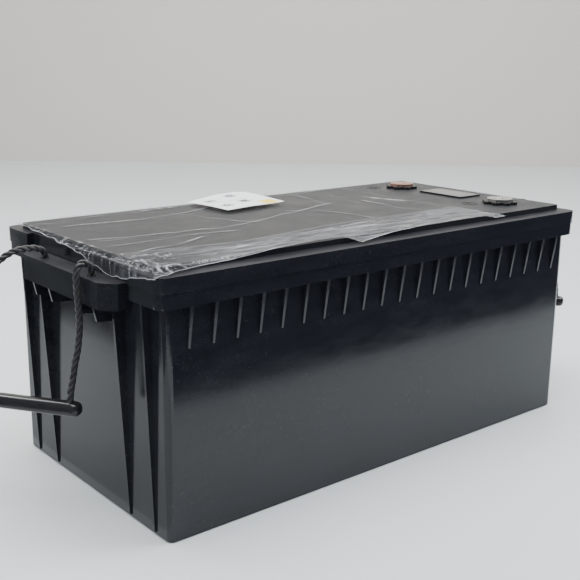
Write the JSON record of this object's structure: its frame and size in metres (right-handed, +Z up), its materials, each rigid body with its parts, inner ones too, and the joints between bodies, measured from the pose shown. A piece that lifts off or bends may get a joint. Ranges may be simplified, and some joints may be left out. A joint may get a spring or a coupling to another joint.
{
  "type": "battery pack",
  "caption": "Rectangular lithium battery pack in a glossy black ribbed case, with rope handles at both ends, threaded stud terminals and a display window on the lid.",
  "frame": {"origin": "middle of the case's base, on the surface it stands on", "axes": "+Z up, +X along the length towards the end with the terminals, +Y towards the positive terminal's long side"},
  "size_m": [0.7022, 0.269, 0.2305],
  "materials": {
    "case_plastic": "glossy black moulded plastic",
    "seal_rubber": "matt",
    "grip_plastic": "glossy black moulded plastic",
    "rope": "twisted black rope with a slight sheen",
    "terminal_plastic": "black moulded plastic",
    "copper": "bare copper",
    "tin_plate": "satin tin plate",
    "steel": "zinc plated",
    "display_frame": "glossy black",
    "display_window": "smoked and glossy",
    "circuit_board": "green solder mask",
    "lead_grey": "satin",
    "film": "clear thin plastic, wrinkled",
    "label_paper": "white coated paper",
    "cell_wrap": "blue heat-shrink wrap",
    "aluminium": "satin",
    "spacer_board": "green insulating board",
    "foam": "closed-cell foam",
    "dark_aluminium": "black anodised",
    "cable_red": "satin",
    "cable_black": "satin",
    "lead_blue": "satin"
  },
  "bodies": {
    "case": {"container": "case_plastic", "lid": "case_plastic", "lid_seal": "seal_rubber", "left_rope_knots": "rope", "right_rope_knots": "rope", "positive_terminal_base": "terminal_plastic", "negative_terminal_base": "terminal_plastic", "positive_terminal_post": "copper", "negative_terminal_post": "tin_plate", "terminal_nuts": "steel", "display_bezel": "display_frame", "display_window": "display_window", "display_board": "circuit_board", "display_lead": "lead_grey", "protective_film": "film", "label_sheet": "label_paper", "cell_1": "cell_wrap", "cell_2": "cell_wrap", "cell_3": "cell_wrap", "cell_4": "cell_wrap", "cell_studs": "aluminium", "cell_busbars": "copper", "cell_nuts": "steel", "cell_spacers": "spacer_board", "cell_end_plates": "aluminium", "compression_bands": "steel", "base_pad": "foam", "side_foam": "foam", "end_foam": "foam", "bms_bracket": "aluminium", "bms_board": "circuit_board", "bms_heat_sink": "dark_aluminium", "bms_screws": "steel", "positive_cable": "cable_red", "battery_cable": "cable_black", "negative_cable": "cable_black", "cable_lugs": "tin_plate", "sense_leads": "lead_blue"},
    "left_handle": {"left_grip": "grip_plastic", "left_rope_front": "rope", "left_rope_back": "rope"},
    "right_handle": {"right_grip": "grip_plastic", "right_rope_front": "rope", "right_rope_back": "rope"}
  },
  "joints": [
    {"name": "left_handle_swing", "type": "hinge", "parent": "case", "child": "left_handle", "pos_m": [-0.274, 0, 0.212], "axis": [0, 1, 0], "range_deg": [-6, 155], "deforming": ["left_rope_front", "left_rope_back"]},
    {"name": "right_handle_swing", "type": "hinge", "parent": "case", "child": "right_handle", "pos_m": [0.274, 0, 0.212], "axis": [0, -1, 0], "range_deg": [-6, 155], "deforming": ["right_rope_front", "right_rope_back"]}
  ]
}
